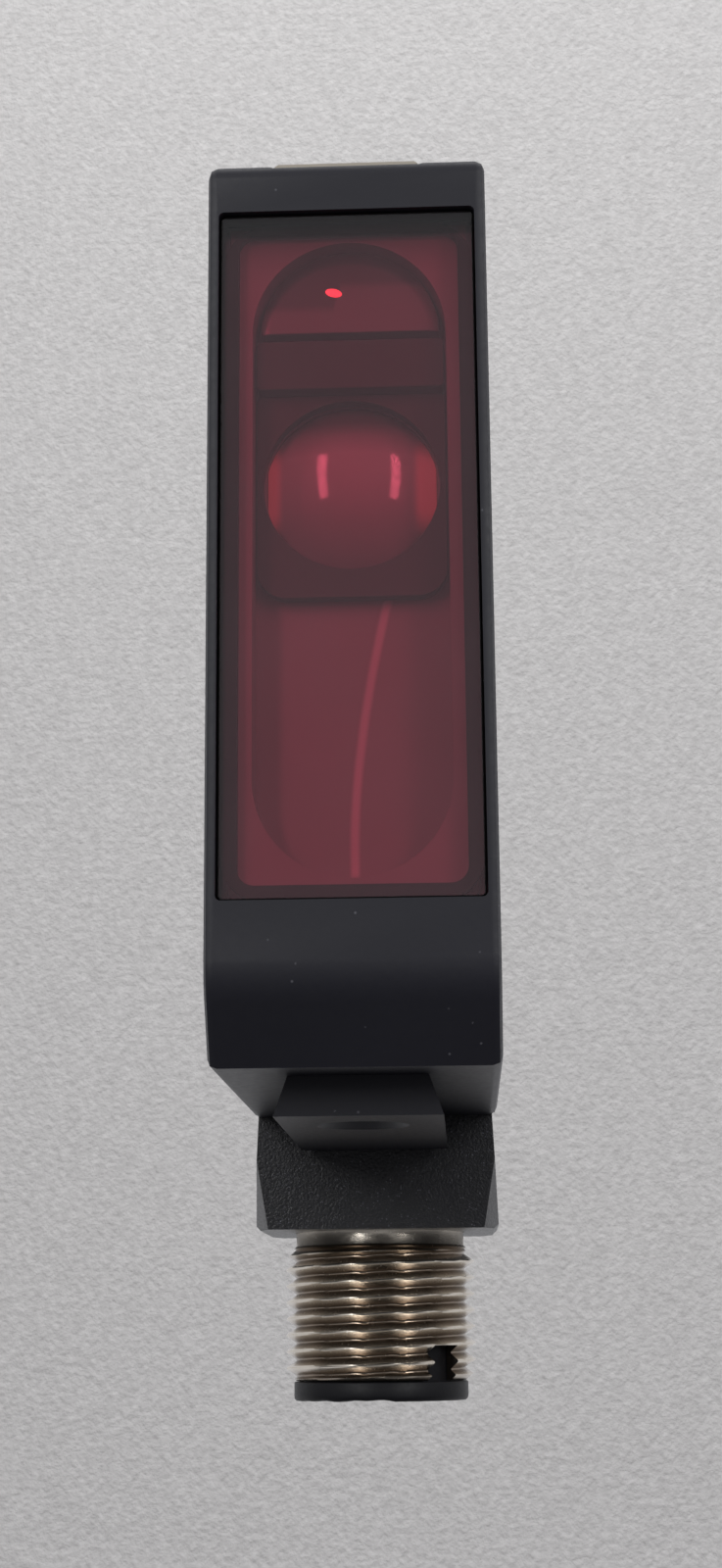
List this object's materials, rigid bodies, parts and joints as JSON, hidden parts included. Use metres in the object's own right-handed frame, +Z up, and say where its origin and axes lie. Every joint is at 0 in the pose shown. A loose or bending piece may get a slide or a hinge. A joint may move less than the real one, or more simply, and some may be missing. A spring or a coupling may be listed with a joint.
{
  "type": "photoelectric sensor",
  "caption": "Slim block photoelectric sensor with a red front window, a dovetail rail, an adjuster on top and an M12 plug that swings from down to back.",
  "frame": {"origin": "middle of the dovetail rail's flat foot", "axes": "+Z up from the rail to the indicator strip; the window faces -Y; +X is right when seen from the window's side; the plug points to -Z at rest"},
  "size_m": [0.015, 0.042, 0.0661],
  "materials": {
    "cast_black": "die-cast zinc with fine black powder coat",
    "red_acrylic": "deep red filter acrylic, polished",
    "gasket_black": "matt black foam gasket",
    "smoked_strip": "pale translucent polycarbonate",
    "rubber_black": "nitrile rubber",
    "plate_silver": "blank brushed aluminium foil plate",
    "carrier_grey": "dark grey polycarbonate moulding",
    "moulded_black": "glass-filled black moulding, speckled",
    "clear_acrylic": "clear acrylic, polished",
    "board_green": "green solder mask on glass-epoxy board",
    "red_emitter": "red-tinted clear epoxy",
    "chip_black": "black epoxy moulding compound",
    "tinned_metal": "tin plate, dull",
    "nylon_white": "natural white nylon",
    "wire_brown": "brown PVC",
    "wire_white": "white PVC",
    "wire_blue": "blue PVC",
    "wire_black": "black PVC",
    "steel": "ground stainless steel",
    "nickel_brass": "nickel-plated brass, slightly worn",
    "insert_black": "black polyamide, moulded",
    "gold_plate": "gold-plated contact"
  },
  "bodies": {
    "case": {"housing": "cast_black", "front_window": "red_acrylic", "window_frame": "gasket_black", "indicator_cover": "smoked_strip", "cover_gasket": "rubber_black", "side_label": "plate_silver", "optics_carrier": "carrier_grey", "light_baffle": "moulded_black", "sender_lens": "clear_acrylic", "receiver_lens": "clear_acrylic", "receiver_lens_retainer": "moulded_black", "optics_board": "board_green", "emitter_led": "red_emitter", "receiver_photodiode": "chip_black", "photodiode_shield": "tinned_metal", "main_board": "board_green", "processor_chip": "chip_black", "output_driver_chip": "chip_black", "board_connector": "nylon_white", "capacitor_1": "tinned_metal", "capacitor_2": "tinned_metal", "capacitor_3": "tinned_metal", "indicator_board": "board_green", "potentiometer": "nylon_white", "adjuster_o_ring": "rubber_black", "power_led": "clear_acrylic", "output_led": "clear_acrylic", "power_light_guide": "clear_acrylic", "output_light_guide": "clear_acrylic", "wire_grommet": "rubber_black", "lead_1": "wire_brown", "lead_2": "wire_white", "lead_3": "wire_blue", "lead_4": "wire_black"},
    "connector": {"swivel_block": "moulded_black", "pivot_pin_left": "steel", "pivot_pin_right": "steel", "connector_sleeve": "nickel_brass", "sleeve_o_ring": "rubber_black", "contact_insert": "insert_black", "contact_pin_1": "gold_plate", "contact_pin_2": "gold_plate", "contact_pin_3": "gold_plate", "contact_pin_4": "gold_plate", "plug_lead_1": "wire_brown", "plug_lead_2": "wire_white", "plug_lead_3": "wire_blue", "plug_lead_4": "wire_black"},
    "adjuster": {"sensitivity_adjuster": "nylon_white"}
  },
  "joints": [
    {"name": "connector_swivel", "type": "hinge", "parent": "case", "child": "connector", "pos_m": [0, 0.01845, 0.00845], "axis": [1, 0, 0], "range_deg": [0, 90]},
    {"name": "sensitivity_turn", "type": "hinge", "parent": "case", "child": "adjuster", "pos_m": [0, 0.0108, 0.0505], "axis": [0, 0, 1], "range_deg": [-135, 135]}
  ]
}
